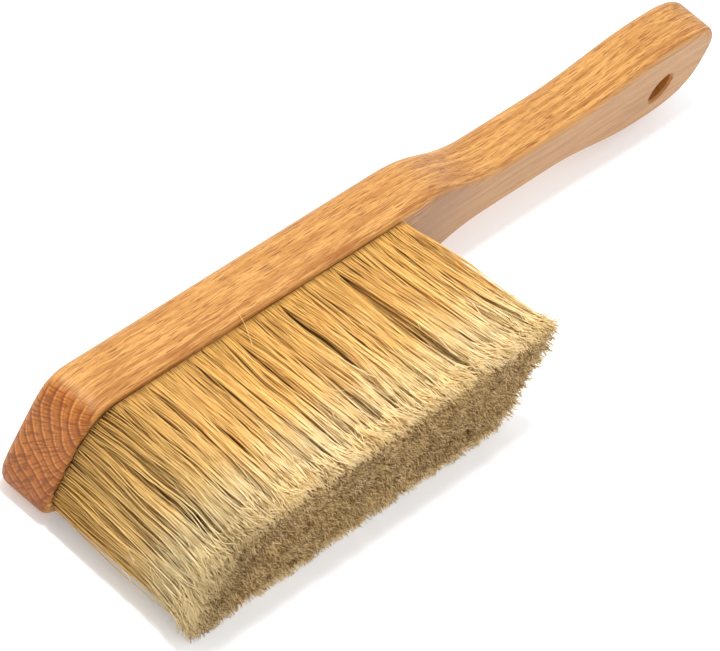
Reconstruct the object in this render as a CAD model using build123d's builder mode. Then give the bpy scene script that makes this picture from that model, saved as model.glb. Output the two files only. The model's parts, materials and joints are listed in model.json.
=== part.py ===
from build123d import *
import os
from math import floor

# Baker's bench brush: a one-piece beech head and handle, set with rows of
# hog-bristle tufts that are folded over flat wire anchors in drilled holes.
#
# Frame (mm): the brush lies on the side of its head, so +Z is up.
# +X runs from the nose to the hanging end and -Y is the way the bristles point.
# The origin is the middle of the head's flat lower side: the face it rests on.

# ---------- wood ----------
HEAD_WIDTH = 46.0
HEAD_THICKNESS = 19.0     # from the back to the face the bristles stand in
HEAD_BACK_X = 86.0        # where the straight sides of the head end
NOSE_X = -80.8            # tip of the nose
NOSE_LENGTH = 22.0        # how far the rounded nose reaches
NOSE_SQUARENESS = 4.6     # exponent of the superellipse that rounds the nose
NECK_WIDTH = 21.2
NECK_START_X = 145.5
NECK_END_X = 182.0
PALM_WIDTH = 34.0         # widest part of the handle
PALM_X = 240.0
HANDLE_END_X = 270.8
END_SQUARENESS = 3.0
GRIP_RISE = 1.3           # underside of the handle above that of the head
GRIP_RISE_X = 128.0       # where the underside has finished rising
BACK_EDGE_RADIUS = 4.0
UNDER_EDGE_RADIUS = 2.5
OUTLINE_POINTS = 9        # points on each rounded quarter of the outline

# ---------- hanging hole ----------
HANG_HOLE_RADIUS = 5.4
HANG_HOLE_CHAMFER = 0.8
HANG_HOLE_X = 245.0
HANG_HOLE_OFFSET = 3.0     # off the middle of the palm, towards the lower side

# ---------- tufts ----------
ROW_COUNT = 5
ROW_PITCH = 9.2
TUFT_PITCH = 6.4
FIELD_END_X = 76.2        # centre of the last tuft of each row
HOLE_RADIUS = 2.6
HOLE_DEPTH = 10.0
HOLE_EDGE = 1.2           # least wood left between a hole and the nose outline
TUFT_CLEARANCE = 0.05
BRISTLE_LENGTH = 56.0     # from the wood to the trimmed tips
TIP_SPREAD = 1.085        # the field of tips is this much longer than the roots
TIP_LEAN_X = 2.0          # all tufts lean this far towards the handle
TIP_GAP = 0.25            # air between neighbouring tufts at the tips
TIP_CORNER_RADIUS = 1.5

# ---------- wire anchors ----------
ANCHOR_LENGTH = 5.8
ANCHOR_HEIGHT = 1.8
ANCHOR_THICKNESS = 0.4
ANCHOR_ABOVE_FLOOR = 1.2  # room for the folded bristles under the anchor
ANCHOR_CLEARANCE = 0.02

ANCHOR_DEPTH = HOLE_DEPTH - ANCHOR_ABOVE_FLOOR
MID_Z = HEAD_WIDTH / 2
UNDER_Y = -HEAD_THICKNESS / 2
BACK_Y = HEAD_THICKNESS / 2


def plan_plane(depth):
    """Plane across the bristles, at this depth above the head's underside."""
    return Plane(origin=(0, UNDER_Y + depth, MID_Z), x_dir=(1, 0, 0), z_dir=(0, -1, 0))


def rounded_quarter(reach, half_width, squareness):
    """Points of a superellipse quarter, from its tip (0, 0) to (reach, half_width)."""
    points = []
    for step in range(OUTLINE_POINTS + 1):
        across = (step / OUTLINE_POINTS) ** 0.5
        along = 1 - (1 - across**squareness) ** (1 / squareness)
        points.append((reach * along, half_width * across))
    return points


def row_offsets():
    """Distance of each row of tufts from the middle of the head."""
    middle = (ROW_COUNT - 1) / 2
    return [(row - middle) * ROW_PITCH for row in range(ROW_COUNT)]


def first_tuft_x(offset):
    """Centre of the first tuft of a row, kept inside the rounded nose."""
    inset = HOLE_EDGE + HOLE_RADIUS
    share = (abs(offset) / (HEAD_WIDTH / 2 - inset)) ** NOSE_SQUARENESS
    along = 1 - (1 - share) ** (1 / NOSE_SQUARENESS)
    return NOSE_X + inset + (NOSE_LENGTH - inset) * along


def row_centres(offset):
    """Tuft centres of one row in the plan, evenly spread from nose to back."""
    start = first_tuft_x(offset)
    gaps = floor((FIELD_END_X - start) / TUFT_PITCH)
    pitch = (FIELD_END_X - start) / gaps
    return [(start + pitch * index, offset) for index in range(gaps + 1)]


def tip_centre(x, across):
    """Where the middle of a tuft rooted at (x, across) of the plan ends."""
    field_x = (NOSE_X + FIELD_END_X) / 2
    return field_x + (x - field_x) * TIP_SPREAD + TIP_LEAN_X, across


all_centres = [centre for offset in row_offsets() for centre in row_centres(offset)]

# Beech body: the plan outline gives the head, neck and palm, and the side
# profile lifts the underside of the handle a little above that of the head.
nose = rounded_quarter(NOSE_LENGTH, HEAD_WIDTH / 2, NOSE_SQUARENESS)
end = rounded_quarter(HANDLE_END_X - PALM_X, PALM_WIDTH / 2, END_SQUARENESS)
with BuildPart() as beech_body:
    with BuildSketch(plan_plane(HEAD_THICKNESS)):
        with BuildLine():
            Spline(*[(NOSE_X + x, z) for x, z in nose], tangents=[(0, 1), (1, 0)])
            Line((NOSE_X + NOSE_LENGTH, HEAD_WIDTH / 2), (HEAD_BACK_X, HEAD_WIDTH / 2))
            Spline(
                (HEAD_BACK_X, HEAD_WIDTH / 2),
                (NECK_START_X, NECK_WIDTH / 2),
                tangents=[(1, 0), (1, 0)],
            )
            Line((NECK_START_X, NECK_WIDTH / 2), (NECK_END_X, NECK_WIDTH / 2))
            Spline(
                (NECK_END_X, NECK_WIDTH / 2),
                (PALM_X, PALM_WIDTH / 2),
                tangents=[(1, 0), (1, 0)],
            )
            Spline(
                *[(HANDLE_END_X - x, z) for x, z in reversed(end)],
                tangents=[(1, 0), (0, -1)],
            )
            mirror(about=Plane.XZ)
        make_face()
    extrude(amount=HEAD_THICKNESS)
    with BuildSketch(Plane.XY):
        Polygon(
            (NOSE_X, BACK_Y),
            (NOSE_X, UNDER_Y),
            (HEAD_BACK_X, UNDER_Y),
            (GRIP_RISE_X, UNDER_Y + GRIP_RISE),
            (HANDLE_END_X, UNDER_Y + GRIP_RISE),
            (HANDLE_END_X, BACK_Y),
            align=None,
        )
    extrude(amount=HEAD_WIDTH, mode=Mode.INTERSECT)
    fillet(beech_body.faces().sort_by(Axis.Y)[-1].edges(), BACK_EDGE_RADIUS)
    under_rim = beech_body.edges().filter_by(
        lambda edge: edge.center().Y < UNDER_Y + GRIP_RISE + 0.1
    )
    creases = beech_body.edges().filter_by(Axis.Z)
    fillet(under_rim - creases, UNDER_EDGE_RADIUS)

    # Hanging hole through the palm, eased at both mouths.
    with BuildSketch(plan_plane(HEAD_THICKNESS)):
        with Locations((HANG_HOLE_X, -HANG_HOLE_OFFSET)):
            Circle(HANG_HOLE_RADIUS)
    extrude(amount=HEAD_THICKNESS, mode=Mode.SUBTRACT)
    hole_mouths = beech_body.edges().filter_by(GeomType.CIRCLE).filter_by(
        lambda edge: abs(edge.radius - HANG_HOLE_RADIUS) < 0.01
    )
    chamfer(hole_mouths, HANG_HOLE_CHAMFER)

    # Blind holes for the tufts, each with two slits where its anchor bites.
    with BuildSketch(plan_plane(HOLE_DEPTH)):
        with Locations(*all_centres):
            Circle(HOLE_RADIUS)
    extrude(amount=HOLE_DEPTH, mode=Mode.SUBTRACT)
    with BuildSketch(plan_plane(ANCHOR_DEPTH)):
        with Locations(*all_centres):
            Rectangle(ANCHOR_LENGTH, ANCHOR_THICKNESS)
    extrude(amount=ANCHOR_HEIGHT, mode=Mode.SUBTRACT)
beech_body.part.label = "beech_body"
pieces = [beech_body.part]

# Each row of tufts is a group of separate solids, and so are its anchors.
# A tuft fills its hole, is slit for the anchor, and fans out to its tips.
for row, offset in enumerate(row_offsets(), start=1):
    centres = row_centres(offset)
    pitch = centres[1][0] - centres[0][0]
    with BuildPart() as tufts:
        with BuildSketch(plan_plane(HOLE_DEPTH - TUFT_CLEARANCE)):
            with Locations(*centres):
                Circle(HOLE_RADIUS - TUFT_CLEARANCE)
        extrude(amount=HOLE_DEPTH - TUFT_CLEARANCE)
        with BuildSketch(plan_plane(ANCHOR_DEPTH + ANCHOR_CLEARANCE)):
            with Locations(*centres):
                Rectangle(ANCHOR_LENGTH, ANCHOR_THICKNESS + 2 * ANCHOR_CLEARANCE)
        extrude(amount=ANCHOR_HEIGHT + 2 * ANCHOR_CLEARANCE, mode=Mode.SUBTRACT)
        for centre in centres:
            with BuildSketch(plan_plane(0)) as root:
                with Locations(centre):
                    Circle(HOLE_RADIUS - TUFT_CLEARANCE)
            with BuildSketch(plan_plane(-BRISTLE_LENGTH)) as tip:
                with Locations(tip_centre(*centre)):
                    RectangleRounded(
                        pitch * TIP_SPREAD - TIP_GAP,
                        ROW_PITCH - TIP_GAP,
                        TIP_CORNER_RADIUS,
                    )
            loft(sections=[root.sketch, tip.sketch])
    tufts.part.label = f"bristle_tufts_row_{row}"
    pieces.append(tufts.part)

    with BuildPart() as anchors:
        with BuildSketch(plan_plane(ANCHOR_DEPTH)):
            with Locations(*centres):
                Rectangle(ANCHOR_LENGTH - 2 * ANCHOR_CLEARANCE, ANCHOR_THICKNESS)
        extrude(amount=ANCHOR_HEIGHT)
    anchors.part.label = f"wire_anchors_row_{row}"
    pieces.append(anchors.part)

os.makedirs("parts", exist_ok=True)
for piece in pieces:
    export_step(piece, f"parts/{piece.label}.step")
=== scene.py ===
import json
from dataclasses import dataclass
from math import cos, radians, sin, tau

import bpy
import numpy as np
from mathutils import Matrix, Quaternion, Vector


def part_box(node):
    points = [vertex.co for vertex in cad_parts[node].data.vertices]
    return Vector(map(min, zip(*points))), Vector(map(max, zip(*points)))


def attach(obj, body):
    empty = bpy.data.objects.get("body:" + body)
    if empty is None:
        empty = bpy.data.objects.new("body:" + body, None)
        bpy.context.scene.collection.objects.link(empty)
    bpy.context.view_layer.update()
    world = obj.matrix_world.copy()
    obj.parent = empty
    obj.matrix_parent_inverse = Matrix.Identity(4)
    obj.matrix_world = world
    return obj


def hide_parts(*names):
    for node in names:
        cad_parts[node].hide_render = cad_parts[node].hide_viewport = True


# A baker's bench brush lying on its side: a beech head and handle, and five
# rows of natural bristle tufts. All lengths are in metres, in the CAD frame:
# +X runs to the hanging end, -Y is the way the bristles point, +Z is up.

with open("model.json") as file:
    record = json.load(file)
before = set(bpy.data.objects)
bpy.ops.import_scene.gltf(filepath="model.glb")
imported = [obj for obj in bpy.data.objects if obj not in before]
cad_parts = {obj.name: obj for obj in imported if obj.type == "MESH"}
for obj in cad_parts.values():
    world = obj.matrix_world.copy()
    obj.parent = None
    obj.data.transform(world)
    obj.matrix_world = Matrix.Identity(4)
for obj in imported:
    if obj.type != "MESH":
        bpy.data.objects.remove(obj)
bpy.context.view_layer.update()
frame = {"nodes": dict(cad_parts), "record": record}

MM = 0.001
SEED = 11
ROWS = 5

wood_low, wood_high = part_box("beech_body")
UNDER_Y = wood_low.y
MID_Z = (wood_low.z + wood_high.z) / 2
TOP_Z = wood_high.z
NOSE_X = wood_low.x
FLOOR_Z = wood_low.z


# ---------- node material helpers ----------
class Nodes:
    """A material's node tree, with short calls for the nodes used here."""

    def __init__(self, name):
        self.material = bpy.data.materials.new(name)
        self.material.use_nodes = True
        self.tree = self.material.node_tree
        self.tree.nodes.clear()
        self.shader = self.node("ShaderNodeBsdfPrincipled")
        self.put(self.node("ShaderNodeOutputMaterial"), "Surface", self.shader.outputs[0])

    def node(self, kind, **options):
        made = self.tree.nodes.new(kind)
        for key, value in options.items():
            setattr(made, key, value)
        return made

    def put(self, node, socket, value):
        """Links an input to a socket or sets it to a value."""
        if isinstance(value, bpy.types.NodeSocket):
            self.tree.links.new(value, node.inputs[socket])
        elif value is not None:
            node.inputs[socket].default_value = value

    def set(self, socket, value):
        """Links or sets an input of the shader."""
        self.put(self.shader, socket, value)

    def math(self, operation, a, b=None, c=None):
        made = self.node("ShaderNodeMath", operation=operation)
        for index, value in enumerate((a, b, c)):
            self.put(made, index, value)
        return made.outputs[0]

    def hypotenuse(self, a, b):
        squares = self.math("MULTIPLY_ADD", a, a, self.math("MULTIPLY", b, b))
        return self.math("SQRT", squares)

    def smooth(self, value, start, end):
        """0 at start, 1 at end, smooth between and flat outside; either may be the larger."""
        made = self.node("ShaderNodeMapRange", interpolation_type="SMOOTHSTEP")
        rising = start < end
        for socket, number in (
            ("Value", value),
            ("From Min", start if rising else end),
            ("From Max", end if rising else start),
            ("To Min", 0.0 if rising else 1.0),
            ("To Max", 1.0 if rising else 0.0),
        ):
            self.put(made, socket, number)
        return made.outputs[0]

    def position(self):
        return self.node("ShaderNodeTexCoord").outputs["Object"]

    def split(self, vector):
        made = self.node("ShaderNodeSeparateXYZ")
        self.put(made, 0, vector)
        return made.outputs[0], made.outputs[1], made.outputs[2]

    def join(self, x, y, z):
        made = self.node("ShaderNodeCombineXYZ")
        for index, value in enumerate((x, y, z)):
            self.put(made, index, value)
        return made.outputs[0]

    def grain(self, vector, size, detail, rough=0.5, seed=0.0):
        """Noise from 0 to 1 whose features measure size = (x, y, z) millimetres."""
        place = self.node("ShaderNodeMapping")
        self.put(place, "Vector", vector)
        self.put(place, "Scale", [1 / (MM * side) for side in size])
        self.put(place, "Location", (seed, seed * 1.7, seed * 2.3))
        made = self.node("ShaderNodeTexNoise")
        self.put(made, "Vector", place.outputs[0])
        self.put(made, "Scale", 1.0)
        self.put(made, "Detail", detail)
        self.put(made, "Roughness", rough)
        return made.outputs["Fac"]

    def mix(self, factor, a, b, blend="MIX"):
        """Colour a with colour b over it; each is a socket or three numbers."""
        made = self.node("ShaderNodeMix", data_type="RGBA", blend_type=blend)
        self.put(made, "Factor", factor)
        colours = [socket for socket in made.inputs if socket.type == "RGBA"]
        for socket, value in zip(colours, (a, b), strict=True):
            if isinstance(value, bpy.types.NodeSocket):
                self.tree.links.new(value, socket)
            else:
                socket.default_value = (*value, 1)
        return [socket for socket in made.outputs if socket.type == "RGBA"][0]

    def tint(self, colour, mask, depth, other):
        """The colour, with another laid over it where the mask is 1, up to this depth."""
        return self.mix(self.math("MULTIPLY", mask, depth), colour, other)

    def ramp(self, value, stops):
        made = self.node("ShaderNodeValToRGB")
        self.put(made, "Fac", value)
        elements = made.color_ramp.elements
        while len(elements) < len(stops):
            elements.new(0.5)
        for element, (place, colour) in zip(elements, stops, strict=True):
            element.position = place
            element.color = (*colour, 1)
        return made.outputs["Color"]

    def bump(self, height, distance, strength):
        made = self.node("ShaderNodeBump")
        self.put(made, "Distance", distance)
        self.put(made, "Strength", strength)
        self.put(made, "Height", height)
        self.set("Normal", made.outputs[0])


def srgb(red, green, blue):
    """A colour given as 0 to 255 display values, as linear numbers."""

    def linear(value):
        value /= 255
        return value / 12.92 if value <= 0.04045 else ((value + 0.055) / 1.055) ** 2.4

    return linear(red), linear(green), linear(blue)


# ---------- beech ----------
RING_PITCH = 3.0 * MM
RING_WAVER = 4.5 * MM
RING_HEART_Y = -20 * MM            # the heart of the tree
RING_HEART_Z = MID_Z + 24 * MM
RAY_SPREAD = 30 * MM               # width given to one radian of the rings, to place the rays

# Where a change of colour begins and where it is complete.
HANDLE_START_X = (84 * MM, 104 * MM)
NECK_SHADE_X = (150 * MM, 100 * MM)
LOW_EDGE_SHADE_Y = (UNDER_Y + 7 * MM, UNDER_Y + 1 * MM)
END_FLOOR_SHADE_Z = (MID_Z, FLOOR_Z + 2 * MM)
BORE_PAST_RADIUS = (0.9 * MM, 0.3 * MM)

SIDE_DARK = srgb(172, 115, 53)
SIDE_LIGHT = srgb(206, 153, 85)
SIDE_CLOUD = srgb(198, 142, 74)
# painted shade along the edge next to the bristles
LOW_EDGE_SHADE = srgb(152, 92, 38)
# painted shade on slopes that face the hanging end
SLOPE_SHADE = srgb(150, 90, 38)
UNDERSIDE_DARK = srgb(165, 117, 68)
UNDERSIDE_LIGHT = srgb(188, 141, 88)
UNDERSIDE_NECK_SHADE = srgb(146, 100, 60)
FLECK = srgb(128, 72, 26)
FINE_FLECK = srgb(140, 84, 36)
END_DARK = srgb(156, 88, 28)
END_LIGHT = srgb(174, 104, 38)
# painted shade on the end grain towards the floor
END_FLOOR_SHADE = srgb(116, 56, 14)
RING_DARK = srgb(114, 54, 14)
RING_PALE = srgb(202, 140, 76)
RAY = srgb(104, 50, 16)
BORE_WALL = srgb(166, 106, 44)


def growth_rings(n, where):
    """Masks of the rings' pale and dark lines, and of the rays that cross them."""
    x, y, z = n.split(where)
    waver = n.grain(where, (80, 13, 13), detail=2.0, seed=3.1)
    dy = n.math("SUBTRACT", y, RING_HEART_Y)
    dz = n.math("SUBTRACT", z, RING_HEART_Z)
    radius = n.math("MULTIPLY_ADD", waver, RING_WAVER, n.hypotenuse(dy, dz))
    phase = n.math("FRACT", n.math("DIVIDE", radius, RING_PITCH))
    pale = n.math("MULTIPLY", n.smooth(phase, 0.66, 0.8), n.smooth(phase, 0.93, 0.86))
    dark = n.math("MAXIMUM", n.smooth(phase, 0.4, 0.0), n.smooth(phase, 0.92, 1.0))
    round_heart = n.math("MULTIPLY", n.math("ARCTAN2", dz, dy), RAY_SPREAD)
    rays = n.grain(n.join(radius, round_heart, x), (4.2, 0.62, 60), detail=1.5, seed=5.2)
    return pale, dark, n.smooth(rays, 0.49, 0.6)


def side_colour(n, where, streak):
    """Golden brown, streaked and clouded along the grain, with painted shade along the edge next
    to the bristles, laid in the darker streaks.
    """
    cloud = n.smooth(n.grain(where, (60, 12, 12), detail=2.0, seed=6.1), 0.4, 0.7)
    # Painted shade along the edge next to the bristles, laid in the darker streaks of the grain.
    low_edge_shade = n.smooth(n.split(where)[1], *LOW_EDGE_SHADE_Y)
    low_edge_shade_streak = n.math("MULTIPLY", low_edge_shade, n.smooth(streak, 0.6, 0.36))
    colour = n.mix(n.smooth(streak, 0.32, 0.66), SIDE_DARK, SIDE_LIGHT)
    colour = n.tint(colour, cloud, 0.35, SIDE_CLOUD)
    return n.tint(colour, low_edge_shade_streak, 0.75, LOW_EDGE_SHADE)


def underside_colour(n, where):
    """The handle's underside: paler and plainer, and darker with painted shade at the neck, next
    to the head.
    """
    fibre = n.grain(where, (26, 9, 0.7), detail=2.0, seed=7.9)
    # Painted shade on the underside at the neck, next to the head.
    neck = n.smooth(n.split(where)[0], *NECK_SHADE_X)
    colour = n.mix(n.smooth(fibre, 0.3, 0.7), UNDERSIDE_DARK, UNDERSIDE_LIGHT)
    return n.tint(colour, neck, 0.5, UNDERSIDE_NECK_SHADE)


def end_colour(n, where, streak, rings):
    """Red-brown end grain with its rings and rays, and painted shade towards the floor."""
    pale, dark, rays = rings
    # Painted shade on the end grain, deepening towards the floor.
    low = n.smooth(n.split(where)[2], *END_FLOOR_SHADE_Z)
    colour = n.mix(n.smooth(streak, 0.3, 0.7), END_DARK, END_LIGHT)
    colour = n.tint(colour, dark, 0.72, RING_DARK)
    colour = n.tint(colour, pale, 0.5, RING_PALE)
    colour = n.tint(colour, rays, 0.6, RAY)
    return n.tint(colour, low, 0.35, END_FLOOR_SHADE)


def bore_wall(n, where):
    """Mask of the hanging hole, whose place and radius come from the record's mount."""
    mount = next(m for m in frame["record"]["mounts"] if m["name"] == "hang_hole")
    x, _, z = n.split(where)
    hole_x, _, hole_z = mount["pos_m"]
    dx = n.math("SUBTRACT", x, hole_x)
    dz = n.math("SUBTRACT", z, hole_z)
    start, end = (mount["dims"]["r_mm"] * MM + past for past in BORE_PAST_RADIUS)
    return n.smooth(n.hypotenuse(dx, dz), start, end)


def beech():
    """Sanded beech with its fibres along X: flecked sides, paler underside, ringed ends."""
    n = Nodes("beech")
    where = n.position()
    x, y, z = n.split(where)
    facing = n.split(n.node("ShaderNodeNewGeometry").outputs["Normal"])
    ends = n.smooth(n.math("ABSOLUTE", facing[0]), 0.3, 0.8)
    handle = n.smooth(x, *HANDLE_START_X)
    under = n.math("MULTIPLY", n.smooth(facing[1], -0.4, -0.97), handle)

    # Along and across the grain of the surface: across is y on the sides and z
    # on the back and the underside.
    flat = n.smooth(n.math("ABSOLUTE", facing[1]), 0.6, 0.8)
    across = n.math("MULTIPLY_ADD", flat, n.math("SUBTRACT", z, y), y)
    plan = n.join(x, across, 0.0)
    streak = n.grain(plan, (34, 1.5, 1), detail=3.0, rough=0.6, seed=4.4)
    flecks = n.smooth(n.grain(plan, (8, 0.28, 1), detail=1.0, seed=1.3), 0.575, 0.63)
    fine_flecks = n.smooth(n.grain(plan, (4, 0.15, 1), detail=1.0, seed=5.7), 0.55, 0.66)
    fleck_depth = n.math("MULTIPLY_ADD", under, -0.68, 0.8)
    fine_fleck_depth = n.math("MULTIPLY_ADD", under, -0.38, 0.46)
    # Painted shade where a surface turns towards the hanging end, as at the shoulder of the
    # head, in the darker streaks.
    slope_shade = n.math("MULTIPLY", n.smooth(facing[0], 0.04, 0.22), n.smooth(streak, 0.62, 0.4))

    rings = growth_rings(n, where)
    colour = n.mix(under, side_colour(n, where, streak), underside_colour(n, where))
    colour = n.tint(colour, slope_shade, 0.3, SLOPE_SHADE)
    colour = n.tint(colour, flecks, fleck_depth, FLECK)
    colour = n.tint(colour, fine_flecks, fine_fleck_depth, FINE_FLECK)
    colour = n.mix(ends, colour, end_colour(n, where, streak, rings))
    colour = n.tint(colour, bore_wall(n, where), 0.75, BORE_WALL)
    n.set("Base Color", colour)
    n.set("Roughness", n.math("MULTIPLY_ADD", streak, 0.15, 0.42))
    n.set("Specular IOR Level", 0.3)

    pale, dark, _ = rings
    ridges = n.math("MULTIPLY", n.math("SUBTRACT", pale, dark), ends)
    relief = n.math("MULTIPLY_ADD", flecks, -0.5, n.math("MULTIPLY", fine_flecks, -0.3))
    relief = n.math("MULTIPLY_ADD", ridges, 0.5, relief)
    n.bump(relief, 0.1 * MM, 0.6)
    return n.material


# ---------- bristle ----------
# Along a strand: brown with painted shade in its hole and where it leaves the wood, then gold,
# then cream towards its split tip, and darker at the very end with painted shade of the packed
# trimmed face.
STRAND_COLOURS = (
    # painted shade where the strand enters the wood
    (0.0, srgb(120, 80, 36)),
    (0.05, srgb(214, 166, 90)),
    (0.3, srgb(239, 195, 118)),
    (0.6, srgb(250, 212, 140)),
    (0.82, srgb(254, 231, 180)),
    # painted shade among the packed trimmed ends
    (1.0, srgb(214, 184, 132)),
)
# What a strand's shade multiplies its colour by.
SHADE_TONES = (
    (0.0, (0.13, 0.085, 0.045)),
    (0.15, (0.3, 0.22, 0.13)),
    (0.4, (0.68, 0.615, 0.5)),
    (0.65, (0.98, 0.935, 0.88)),
    (1.0, (1.1, 1.1, 1.1)),
)
GOLD_TONE = (1.0, 0.92, 0.6)    # in soft patches, away from the nose
NOSE_TONE = (0.82, 0.83, 0.81)  # a little duller towards the nose
NOSE_TONE_REACH = 36 * MM


def bristle():
    """Natural hog bristle. The UV map holds (strand shade, way along the strand)."""
    n = Nodes("hog_bristle")
    shade, along, _ = n.split(n.node("ShaderNodeUVMap", uv_map="strand").outputs["UV"])
    where = n.position()
    away = n.smooth(n.split(where)[0], NOSE_X, NOSE_X + NOSE_TONE_REACH)
    patches = n.smooth(n.grain(where, (22, 34, 22), detail=1.5, seed=2.9), 0.42, 0.66)

    colour = n.mix(1.0, n.ramp(along, STRAND_COLOURS), n.ramp(shade, SHADE_TONES), "MULTIPLY")
    golden = n.mix(1.0, colour, GOLD_TONE, "MULTIPLY")
    colour = n.tint(colour, n.math("MULTIPLY", patches, away), 0.3, golden)
    dun = n.mix(1.0, colour, NOSE_TONE, "MULTIPLY")
    colour = n.mix(away, dun, colour)
    n.set("Base Color", colour)
    n.set("Roughness", 0.55)
    n.set("Specular IOR Level", 0.3)
    return n.material


# ---------- tufts as separate bristles ----------
# Plan points are (x, z from the middle of the head).
ROW_PITCH = 9.2 * MM
BRISTLE_LENGTH = 56 * MM
HOLE_MOUTH_RADIUS = 2.4 * MM
ROOT_DEPTH = 1.5 * MM       # how far the strands start inside the hole
SPLAY_DEPTH = 0.6 * MM      # how far below the wood they have spread to their neighbours
STRANDS_PER_TUFT = 170
STRANDS_PER_END_TUFT = 250  # the first tuft of a row also fills the rounded nose
RINGS = np.array([0.0, 0.06, 0.13, 0.22, 0.32, 0.43, 0.54, 0.65, 0.77, 0.89, 1.0])


@dataclass
class Tuft:
    """One tuft's place in its row."""

    root: tuple         # plan point of its hole
    tip: tuple          # plan point of its trimmed tips
    root_pitch: float
    tip_pitch: float
    first: bool         # next to the nose
    last: bool          # next to the handle
    upper: bool         # in the row that faces up


def row_of_tufts(row):
    """A row's tufts: root centres from its anchors and tip centres from its CAD box."""
    z = (row - (ROWS + 1) / 2) * ROW_PITCH
    anchors = frame["nodes"][f"wire_anchors_row_{row}"].data.vertices
    edges = sorted({round(vertex.co.x, 5) for vertex in anchors})
    roots = [(low + high) / 2 for low, high in zip(edges[::2], edges[1::2], strict=True)]
    low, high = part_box(f"bristle_tufts_row_{row}")
    pitch = (high.x - low.x) / len(roots)
    tips = [low.x + (index + 0.5) * pitch for index in range(len(roots))]
    return [
        Tuft(
            root=(root, z),
            tip=(tip, z),
            root_pitch=roots[1] - roots[0],
            tip_pitch=tips[1] - tips[0],
            first=root == roots[0],
            last=root == roots[-1],
            upper=row == ROWS,
        )
        for root, tip in zip(roots, tips, strict=True)
    ]


# ---------- the fields that roots and tips fill ----------
# A field is its nose end, tail end, half width, and the reach and power of the
# superellipses that round its nose and its tail.
ROOT_FIELD = (NOSE_X + 0.5 * MM, 79.2 * MM, 22.2 * MM, (22 * MM, 4.4), (3 * MM, 2.5))
TIP_FIELD = (NOSE_X - 3.2 * MM, 92.8 * MM, 22.55 * MM, (22 * MM, 2.4), (12 * MM, 2.3))
FIELD_SIDE = 0.995          # the rounding is followed up to this share of the half width
CELL_SHARE = 0.57           # half of a tuft's cell, a little over 0.5 to mix neighbours
GOLDEN_ANGLE = 2.399963     # radians


def disc_points(rng, count, jitter):
    """Evenly spread points of the unit disc, jittered."""
    index = np.arange(count) + 0.5
    radius = np.sqrt(index / count)
    angle = index * GOLDEN_ANGLE + rng.uniform(0, tau)
    points = np.stack([radius * np.cos(angle), radius * np.sin(angle)], 1)
    return points + rng.normal(0, jitter, points.shape)


def to_square(points):
    """The unit disc stretched to the unit square."""
    radius = np.linalg.norm(points, axis=-1, keepdims=True)
    reach = np.abs(points).max(axis=-1, keepdims=True)
    return points * radius / np.maximum(reach, 1e-6)


def hold_inside(plan, field):
    """Plan points pulled inside a field with rounded corners."""
    nose, tail, half, (nose_reach, nose_power), (tail_reach, tail_power) = field
    x, z = plan[..., 0], plan[..., 1]
    for start, reach, power in (
        (nose + nose_reach, -nose_reach, nose_power),
        (tail - tail_reach, tail_reach, tail_power),
    ):
        past = np.maximum((x - start) / reach, 0)
        size = (past**power + (np.abs(z) / half) ** power) ** (1 / power)
        shrink = 1 / np.maximum(size, 1)
        x = np.where(past > 0, start + (x - start) * shrink, x)
        z = z * shrink
    return np.stack([x, z], -1)


def field_end(z, end, half, reach, power):
    """Where a field ends at z. A positive reach rounds the nose, a negative one the tail."""
    share = np.clip(np.abs(z) / half, 0, FIELD_SIDE)
    return end + reach * (1 - (1 - share**power) ** (1 / power))


def cell_points(centre, square, pitch, field, tuft):
    """A tuft's share of a field. The end tufts of a row reach out to the field's edge."""
    nose, tail, half, (nose_reach, nose_power), (tail_reach, tail_power) = field
    plan = np.array(centre) + square * np.array([pitch, ROW_PITCH]) * CELL_SHARE
    if tuft.first:
        edge = field_end(plan[:, 1], nose, half, nose_reach, nose_power)
        stretched = centre[0] + square[:, 0] * (centre[0] - edge)
        plan[:, 0] = np.where(square[:, 0] < 0, stretched, plan[:, 0])
    if tuft.last:
        edge = field_end(plan[:, 1], tail, half, -tail_reach, tail_power)
        stretched = centre[0] + square[:, 0] * (edge - centre[0])
        plan[:, 0] = np.where(square[:, 0] > 0, stretched, plan[:, 0])
    return plan


# The trimmed tips are eased over these distances from the nose, the tail and the
# sides, and are this much shorter at the very edge.
TIP_EASE = np.array([14, 10, 4.5]) * MM
TIP_EASE_DROP = np.array([4.6, 2.4, 2.2]) * MM


def plan_of(points):
    """Plan points of points in space."""
    return points[..., [0, 2]] - np.array([0, MID_Z])


def rim_shares(plan):
    """For the nose, tail and side edges of the tips: 1 at the edge, 0 well inside."""
    nose, tail, half = TIP_FIELD[:3]
    x, z = plan[..., 0], plan[..., 1]
    inward = np.stack([x - nose, tail - x, half - np.abs(z)], -1)
    return np.clip(1 - inward / TIP_EASE, 0, 1)


# ---------- centre lines of the strands ----------
DISC_EDGE = 0.99
DISC_JITTER = 0.03
LOW_ROOTS_SHARE = 0.85      # the roots stop a little further in along the lower side
BEND_POWERS = (1.75, 1.15)  # at the nose and the tail: the larger, the later strands turn
ARCH_END = 1.05             # a clump's arch closes just short of the tips

# How strands differ: standard deviations, shares of the strands, and ranges.
# A sway is the range of its beats, in radians along the strand, and its size.
ROOT_SCATTER = 0.2 * MM
TIP_SCATTER = 0.9 * MM
STRAY_SHARE = 0.06
STRAY_SCATTER = 4.5 * MM
STRAY_LIFT = 1.2 * MM       # off the side that faces up
LENGTH_SCATTER = 0.8 * MM
SHORT_SHARE = 0.1
SHORT_LENGTH = (0.6, 0.97)
SWAYS = (((4, 9), 0.35 * MM), ((14, 24), 0.08 * MM))

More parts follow.
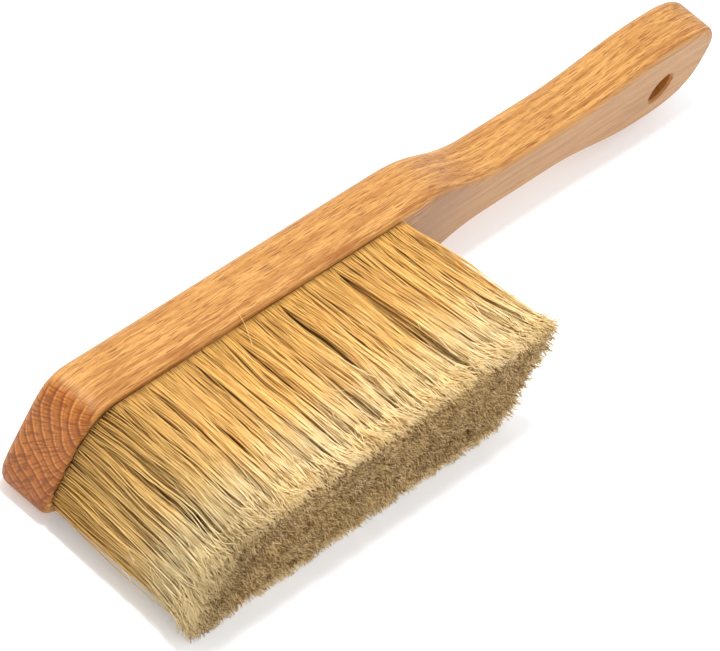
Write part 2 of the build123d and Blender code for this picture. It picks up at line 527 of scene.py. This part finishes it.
# Strands lean together in clumps, which differ in the same ways.
CLUMPS_PER_TUFT = 6
CLUMP_JITTER = 0.1
CLUMP_REACH = 0.85          # how far out in the tuft their middles lie
CLUMP_DRIFT = np.array([2.2, 0.9]) * MM
CLUMP_LENGTH_SCATTER = 0.6 * MM
CLUMP_PINCH = (0.15, 0.6)   # how far their strands draw in to their middle, halfway along
CLUMP_BOW = 0.55 * MM
CLUMP_SWAY = ((8, 14), 0.22 * MM)


def strand_roots(rng, tuft, square):
    """Plan points where the strands leave the wood."""
    root = cell_points(tuft.root, square, tuft.root_pitch, ROOT_FIELD, tuft)
    root = hold_inside(root + rng.normal(0, ROOT_SCATTER, root.shape), ROOT_FIELD)
    root[:, 1] *= np.where(root[:, 1] < 0, LOW_ROOTS_SHARE, 1)
    return root


def strand_tips(rng, tuft, square, clump):
    """Plan points where the strands end, and which of them stray."""
    drift = rng.normal(0, 1, (CLUMPS_PER_TUFT, 2)) * CLUMP_DRIFT
    tip = cell_points(tuft.tip, square, tuft.tip_pitch, TIP_FIELD, tuft)
    tip += drift[clump] + rng.normal(0, TIP_SCATTER, tip.shape)
    stray = rng.uniform(0, 1, len(tip)) < STRAY_SHARE
    tip[stray, 0] += rng.normal(0, STRAY_SCATTER, stray.sum())
    return hold_inside(tip, TIP_FIELD), stray


def strand_lengths(rng, tip, clump):
    """Lengths below the wood, less at the trimmed rim and for a few short strands."""
    drop = (TIP_EASE_DROP * rim_shares(tip) ** 2).max(-1)
    length = BRISTLE_LENGTH - FLAG_OVERHANG - drop
    length += rng.normal(0, CLUMP_LENGTH_SCATTER, CLUMPS_PER_TUFT)[clump]
    length -= np.abs(rng.normal(0, LENGTH_SCATTER, len(tip)))
    short = rng.uniform(0, 1, len(tip)) < SHORT_SHARE
    length[short] *= rng.uniform(*SHORT_LENGTH, short.sum())
    return length


def sway(rng, count, t, beats, size):
    """Waves across the plan along each strand, growing from nothing at its root."""
    phase = rng.uniform(0, tau, (count, 1, 2))
    beat = rng.uniform(*beats, (count, 1, 2))
    swing = rng.normal(0, size, (count, 1, 2))
    return (np.sin(t[..., None] * beat + phase) - np.sin(phase)) * swing


def strand_lines(tuft, disc, plan, length):
    """Centre lines from inside the hole, by its mouth, along the plan to the tips."""
    lines = np.zeros((len(plan), len(RINGS) + 2, 3))
    lines[:, :2, [0, 2]] = (np.array(tuft.root) + disc * HOLE_MOUTH_RADIUS)[:, None]
    lines[:, 0, 1] = UNDER_Y + ROOT_DEPTH
    lines[:, 1, 1] = UNDER_Y
    lines[:, 2:, [0, 2]] = plan
    lines[:, 2:, 1] = UNDER_Y - SPLAY_DEPTH - RINGS[None] * (length[:, None] - SPLAY_DEPTH)
    lines[:, :, 2] += MID_Z
    return lines


def tuft_strands(rng, tuft):
    """Centre lines of a tuft's strands (strand, ring, 3), their clumps, and which stray."""
    count = STRANDS_PER_END_TUFT if tuft.first else STRANDS_PER_TUFT
    disc = np.clip(disc_points(rng, count, DISC_JITTER), -DISC_EDGE, DISC_EDGE)
    square = to_square(disc)
    seeds = to_square(disc_points(rng, CLUMPS_PER_TUFT, CLUMP_JITTER)) * CLUMP_REACH
    clump = np.linalg.norm(square[:, None] - seeds[None], axis=2).argmin(1)
    root = strand_roots(rng, tuft, square)
    tip, stray = strand_tips(rng, tuft, square, clump)
    length = strand_lengths(rng, tip, clump)

    # Strands run from root to tip. Halfway along, a clump draws together and bows.
    # The clump and each of its strands sway, and strays stand off the upper side.
    t = RINGS[None] * (length / BRISTLE_LENGTH)[:, None]
    bend = t[..., None] ** np.interp(tuft.root[0], [NOSE_X, -NOSE_X], BEND_POWERS)
    plan = root[:, None] * (1 - bend) + tip[:, None] * bend
    cell = np.array([tuft.root_pitch, ROW_PITCH]) * CELL_SHARE
    pinch = rng.uniform(*CLUMP_PINCH, CLUMPS_PER_TUFT)[clump]
    pull = (seeds[clump] - square) * cell * pinch[:, None]
    bow = rng.normal(0, CLUMP_BOW, (CLUMPS_PER_TUFT, 2))[clump]
    arch = np.sin(np.pi * np.clip(t * ARCH_END, 0, 1))[..., None]
    plan += (pull + bow)[:, None] * arch
    plan += sway(rng, CLUMPS_PER_TUFT, RINGS[None], *CLUMP_SWAY)[clump]
    for beats, size in SWAYS:
        plan += sway(rng, count, t, beats, size)
    if tuft.upper:
        plan[stray, :, 1] += arch[stray, :, 0] * STRAY_LIFT
    return strand_lines(tuft, disc, plan, length), clump, stray


# ---------- shades of the strands ----------
# A shade runs from 0 for the darkest bristle to 1 for the palest. Besides each bristle's own
# colour it holds painted shade: strands inside the brush are darker.
PAINTED_SHADE_INSIDE = 0.38
SHADE_RIM_GAIN = 0.3
SHADE_RIM_REACH = 1.8       # how soon a strand near the rim counts as outside
SHADE_SCATTER = 0.12
CLUMP_SHADE_SCATTER = 0.06
DARK_SHARE = 0.03
DARK_SHADE = (0.0, 0.2)
BRIGHT_SHARE = 0.08
BRIGHT_SHADE = 0.95
SHADE_LIMITS = (0.01, 0.99)


def strand_shades(rng, lines, clump, stray):
    """Pale at the outside of the brush, darker inside with painted shade, with a few dark
    bristles.
    """
    middle = lines[:, len(RINGS) // 2 + 2]
    outside = np.clip(SHADE_RIM_REACH * rim_shares(plan_of(middle)).max(-1), 0, 1)
    shade = PAINTED_SHADE_INSIDE + SHADE_RIM_GAIN * outside + rng.normal(0, SHADE_SCATTER, len(lines))
    shade += rng.normal(0, CLUMP_SHADE_SCATTER, CLUMPS_PER_TUFT)[clump]
    dark = rng.uniform(0, 1, len(lines)) < DARK_SHARE
    shade[dark] = rng.uniform(*DARK_SHADE, dark.sum())
    bright = rng.uniform(0, 1, len(lines)) < BRIGHT_SHARE
    shade[bright | stray] = BRIGHT_SHADE
    return np.clip(shade, *SHADE_LIMITS)


# ---------- strands as tubes ----------
STRAND_RADIUS = 0.18 * MM
STRAND_THICKNESS = (0.75, 1.25)
STRAND_SIDES = 3
TIP_TAPER = 0.3
WOOD_ALONG = 0.02           # the way along a strand at which it has left the wood
SHADE_TO_SPIN = 40          # radians that a tube is turned for its shade, so that tubes differ
FLOOR_GAP = 0.1 * MM        # no vertex is nearer to the floor than this


class Tubes:
    """Closed tubes round centre lines, collected into one mesh."""

    def __init__(self):
        self.count = 0
        self.vertices, self.quads, self.caps, self.uvs = [], [], [], []

    def add(self, lines, radii, shade, along):
        """One tube for each line (tube, ring, 3), with a radius and a way along per ring."""
        count, rings, _ = lines.shape
        angle = np.arange(STRAND_SIDES) * tau / STRAND_SIDES
        spin = shade[:, None] * SHADE_TO_SPIN + angle[None]
        ring = np.stack([np.cos(spin), np.zeros_like(spin), np.sin(spin)], 2)
        vertices = lines[:, :, None] + ring[:, None] * radii[:, :, None, None]
        index = self.count + np.arange(vertices[..., 0].size).reshape(count, rings, STRAND_SIDES)
        after = np.roll(index, -1, axis=2)
        quads = np.stack([index[:, :-1], index[:, 1:], after[:, 1:], after[:, :-1]], -1)
        uv = np.zeros((count, rings, STRAND_SIDES, 2))
        uv[..., 0] = shade[:, None, None]
        uv[..., 1] = along[:, :, None]
        self.vertices.append(vertices.reshape(-1, 3))
        self.quads.append(quads.reshape(-1, 4))
        self.caps.append(np.concatenate([index[:, 0], index[:, -1, ::-1]]))
        self.uvs.append(uv.reshape(-1, 2))
        self.count += index.size

    def mesh(self, name):
        """The mesh, held above the floor, with the UV map that the bristle material reads."""
        vertices = np.concatenate(self.vertices)
        vertices[:, 2] = np.maximum(vertices[:, 2], FLOOR_Z + FLOOR_GAP)
        quads = np.concatenate(self.quads)
        caps = np.concatenate(self.caps)
        loops = np.concatenate([quads.ravel(), caps.ravel()])
        quad_starts = np.arange(len(quads)) * 4
        cap_starts = quads.size + np.arange(len(caps)) * STRAND_SIDES
        mesh = bpy.data.meshes.new(name)
        mesh.vertices.add(len(vertices))
        mesh.vertices.foreach_set("co", vertices.ravel())
        mesh.loops.add(len(loops))
        mesh.loops.foreach_set("vertex_index", loops)
        mesh.polygons.add(len(quads) + len(caps))
        mesh.polygons.foreach_set("loop_start", np.concatenate([quad_starts, cap_starts]))
        mesh.update(calc_edges=True)
        mesh.validate()
        layer = mesh.uv_layers.new(name="strand")
        layer.data.foreach_set("uv", np.concatenate(self.uvs)[loops].ravel())
        mesh.polygons.foreach_set("use_smooth", [True] * len(mesh.polygons))
        return mesh


# ---------- flags: the split, curling ends of the strands ----------
FLAGS_PER_STRAND = 2
FLAG_LENGTH = 7.5 * MM
FLAG_LENGTH_RANGE = (0.55, 1.1)
FLAG_OVERHANG = 1.6 * MM    # how far a flag stands out past the end of its strand
FLAG_CUT = 1.2 * MM         # the depth of the band that the trimmed ends lie in
FLAG_RADII = (0.2 * MM, 0.2 * MM, 0.1 * MM)
FLAG_BEND_AT = 0.55         # the share of its length where a flag bends
FLAG_BEND_SPLAY = 0.3       # and the share of its splay that it has there
FLAG_CLUMP_SPLAY = 0.24     # splay and curl are shares of the flag's length
FLAG_SPLAY = 0.18
FLAG_SPLAY_MOST = 0.5
FLAG_CURL = 0.08
FLAG_ALONG = np.array([0.82, 0.85, 0.88])
PALE_FLAG_SHARE = 0.8
PALE_FLAG_SHADE = 0.9

# What changes from the rim to the inside of the trimmed face: painted shade that deepens
# inwards, and painted light and shade that differ from clump to clump.
INSIDE_ALONG = np.array([0.04, 0.08, 0.12])
INSIDE_PALE_DROP = 0.5
INSIDE_SHADE_DROP = 0.2
INSIDE_TONE_DROP = (-0.2, 0.5)


def add_flags(rng, tubes, lines, clump, shade):
    """The split ends of the strands, which splay in clumps. Most are pale at the rim; further in
    they are darkened with painted shade of the trimmed face.
    """
    count = len(lines)
    end = lines[:, -1]
    step = end - lines[:, -2]
    step /= np.linalg.norm(step, axis=1, keepdims=True)
    length = FLAG_LENGTH * rng.uniform(*FLAG_LENGTH_RANGE, (count, 1))
    foot = end - step * (length - FLAG_OVERHANG)
    splay = rng.normal(0, FLAG_CLUMP_SPLAY, (CLUMPS_PER_TUFT, 3))[clump]
    splay = splay + rng.normal(0, FLAG_SPLAY, (count, 3))
    splay = np.clip(splay, -FLAG_SPLAY_MOST, FLAG_SPLAY_MOST) * length
    middle = foot + step * length * FLAG_BEND_AT + splay * FLAG_BEND_SPLAY
    head = foot + step * length + splay + rng.normal(0, FLAG_CURL, (count, 3)) * length
    limit = UNDER_Y - BRISTLE_LENGTH + rng.uniform(0, FLAG_CUT, count)
    head[:, 1] = np.maximum(head[:, 1], limit)

    # Painted shade of the trimmed face: further along the strand colours, fewer pale flags,
    # darker flags, and painted light and shade by clump.
    inner = 1 - rim_shares(plan_of(end)).max(-1)
    along = FLAG_ALONG + inner[:, None] * INSIDE_ALONG
    pale = rng.uniform(0, 1, count) < PALE_FLAG_SHARE - INSIDE_PALE_DROP * inner
    painted_clump_shading = 1 - inner * rng.uniform(*INSIDE_TONE_DROP, CLUMPS_PER_TUFT)[clump]
    dim = shade * (1 - INSIDE_SHADE_DROP * inner) * painted_clump_shading
    flag_shade = np.where(pale, PALE_FLAG_SHADE * painted_clump_shading**0.5, dim)
    flag = np.stack([foot, middle, head], 1)
    tubes.add(flag, np.repeat([FLAG_RADII], count, 0), flag_shade, along)


# ---------- one pale bristle that has worked loose, over the edge of the wood ----------
LOOSE_RINGS = 9
LOOSE_START = (-5.5 * MM, UNDER_Y + 5 * MM, TOP_Z + 0.25 * MM)
LOOSE_RUN = (-7 * MM, -14 * MM)
LOOSE_WAVE = 0.6 * MM
LOOSE_SAG = 0.5 * MM
LOOSE_SAG_FROM = 0.35
LOOSE_TAPER = 0.6
LOOSE_SHADE = 0.99
LOOSE_ALONG = (0.5, 0.8)


def add_loose_strand(tubes):
    """The loose bristle, from its thin end on the wood to its thick end among the others."""
    t = np.linspace(0, 1, LOOSE_RINGS)
    start_x, start_y, start_z = LOOSE_START
    run_x, run_y = LOOSE_RUN
    x = start_x + run_x * t + LOOSE_WAVE * np.sin(4 * t)
    y = start_y + run_y * t
    z = start_z - LOOSE_SAG * np.maximum(t - LOOSE_SAG_FROM, 0) * (1 + 2 * t)
    radii = STRAND_RADIUS * (1 - LOOSE_TAPER * t)[::-1]
    along = np.linspace(*LOOSE_ALONG, LOOSE_RINGS)
    line = np.stack([x, y, z], 1)
    tubes.add(line[None], radii[None], np.array([LOOSE_SHADE]), along[None])


# ---------- a row of tufts ----------
def bristle_row(row, material):
    """All strands of one row of tufts, as one piece."""
    rng = np.random.default_rng(SEED + row)
    tubes = Tubes()
    for tuft in row_of_tufts(row):
        lines, clump, stray = tuft_strands(rng, tuft)
        shade = strand_shades(rng, lines, clump, stray)
        along = np.repeat([[0, 0, *(WOOD_ALONG + (1 - WOOD_ALONG) * RINGS)]], len(lines), 0)
        thickness = rng.uniform(*STRAND_THICKNESS, (len(lines), 1))
        tubes.add(lines, STRAND_RADIUS * (1 - TIP_TAPER * along) * thickness, shade, along)
        for _ in range(FLAGS_PER_STRAND):
            add_flags(rng, tubes, lines, clump, shade)
    if row == ROWS:
        add_loose_strand(tubes)
    name = f"bristles_row_{row}"
    mesh = tubes.mesh(name)
    mesh.materials.append(material)
    piece = bpy.data.objects.new(name, mesh)
    bpy.context.scene.collection.objects.link(piece)
    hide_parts(f"bristle_tufts_row_{row}")
    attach(piece, "root")


# ---------- wire anchors ----------
def anchor_steel():
    """Drawn steel wire of the hidden anchors."""
    n = Nodes("anchor_steel")
    scratch = n.grain(n.position(), (6, 0.1, 0.1), detail=2.0)
    n.set("Base Color", n.mix(scratch, (0.42, 0.42, 0.43), (0.6, 0.6, 0.6)))
    n.set("Metallic", 1.0)
    n.set("Roughness", n.math("MULTIPLY_ADD", scratch, 0.2, 0.3))
    return n.material


# ---------- the brush ----------
def give(node, material):
    """Puts a material on every slot of a CAD node."""
    piece = frame["nodes"][node]
    if not piece.material_slots:
        piece.data.materials.append(material)
    for slot in piece.material_slots:
        slot.material = material


def brush():
    give("beech_body", beech())
    steel = anchor_steel()
    hair = bristle()
    for row in range(1, ROWS + 1):
        give(f"wire_anchors_row_{row}", steel)
        bristle_row(row, hair)


# ---------- studio ----------
WHITE = (1, 1, 1, 1)
FLOOR_SIZE = 12
FLOOR_COLOUR = (0.82, 0.83, 0.85, 1)
FLOOR_GLOW = 0.25
SKY_STRENGTH = 0.95
LIGHT_AIM = Vector((0.05, 0, 0.02))

# The camera stands where the photograph's stood, as fitted to the brush's outline.
# Azimuth 0 looks along +Y. The lens is in mm, for a sensor 36 mm wide.
CAMERA_AZIMUTH = -71.709
CAMERA_ELEVATION = 37.689
CAMERA_ROLL = 28.52
CAMERA_DISTANCE = 1.9608
CAMERA_LENS = 339.3
CAMERA_SENSOR = 36
CAMERA_FAR = 50
CAMERA_TARGET = Vector((0.02546, -0.03049, 0.04576))


def studio_floor():
    """A plain pale floor under the brush."""
    bpy.ops.mesh.primitive_plane_add(size=FLOOR_SIZE, location=(0, 0, FLOOR_Z))
    floor = bpy.context.object
    floor.name = "studio_floor"
    n = Nodes("studio_floor")
    n.set("Base Color", FLOOR_COLOUR)
    n.set("Roughness", 0.9)
    n.set("Specular IOR Level", 0.1)
    n.set("Emission Color", WHITE)
    n.set("Emission Strength", FLOOR_GLOW)
    floor.data.materials.append(n.material)


def studio_sky():
    """Even white light from all round."""
    world = bpy.data.worlds.new("studio")
    world.use_nodes = True
    background = world.node_tree.nodes["Background"]
    background.inputs["Color"].default_value = WHITE
    background.inputs["Strength"].default_value = SKY_STRENGTH
    bpy.context.scene.world = world


def softbox(name, place, size, power):
    """A rectangular lamp, size metres wide and high, aimed at the brush."""
    light = bpy.data.lights.new(name, "AREA")
    light.shape = "RECTANGLE"
    light.size, light.size_y = size
    light.energy = power
    lamp = bpy.data.objects.new(name, light)
    bpy.context.scene.collection.objects.link(lamp)
    lamp.location = place
    lamp.rotation_euler = (LIGHT_AIM - Vector(place)).to_track_quat("-Z", "Y").to_euler()


def studio_camera():
    """The camera looks down at the nose and rolls, so the brush climbs to the right."""
    azimuth, elevation = radians(CAMERA_AZIMUTH), radians(CAMERA_ELEVATION)
    level = cos(elevation)
    back = Vector((sin(azimuth) * level, -cos(azimuth) * level, sin(elevation)))
    data = bpy.data.cameras.new("studio_camera")
    data.lens = CAMERA_LENS
    data.sensor_width = CAMERA_SENSOR
    data.clip_end = CAMERA_FAR
    camera = bpy.data.objects.new("studio_camera", data)
    bpy.context.scene.collection.objects.link(camera)
    camera.rotation_mode = "QUATERNION"
    roll = Quaternion((0, 0, 1), radians(CAMERA_ROLL))
    camera.rotation_quaternion = back.to_track_quat("Z", "Y") @ roll
    camera.location = CAMERA_TARGET + back * CAMERA_DISTANCE
    bpy.context.scene.camera = camera


def studio():
    studio_floor()
    studio_sky()
    softbox("key", place=(-0.3, 0.2, 1.6), size=(0.2, 0.2), power=21)
    softbox("front", place=(-1.0, -1.4, 0.9), size=(1.0, 0.8), power=2)
    studio_camera()
    bpy.context.scene.view_settings.view_transform = "Standard"


brush()
studio()
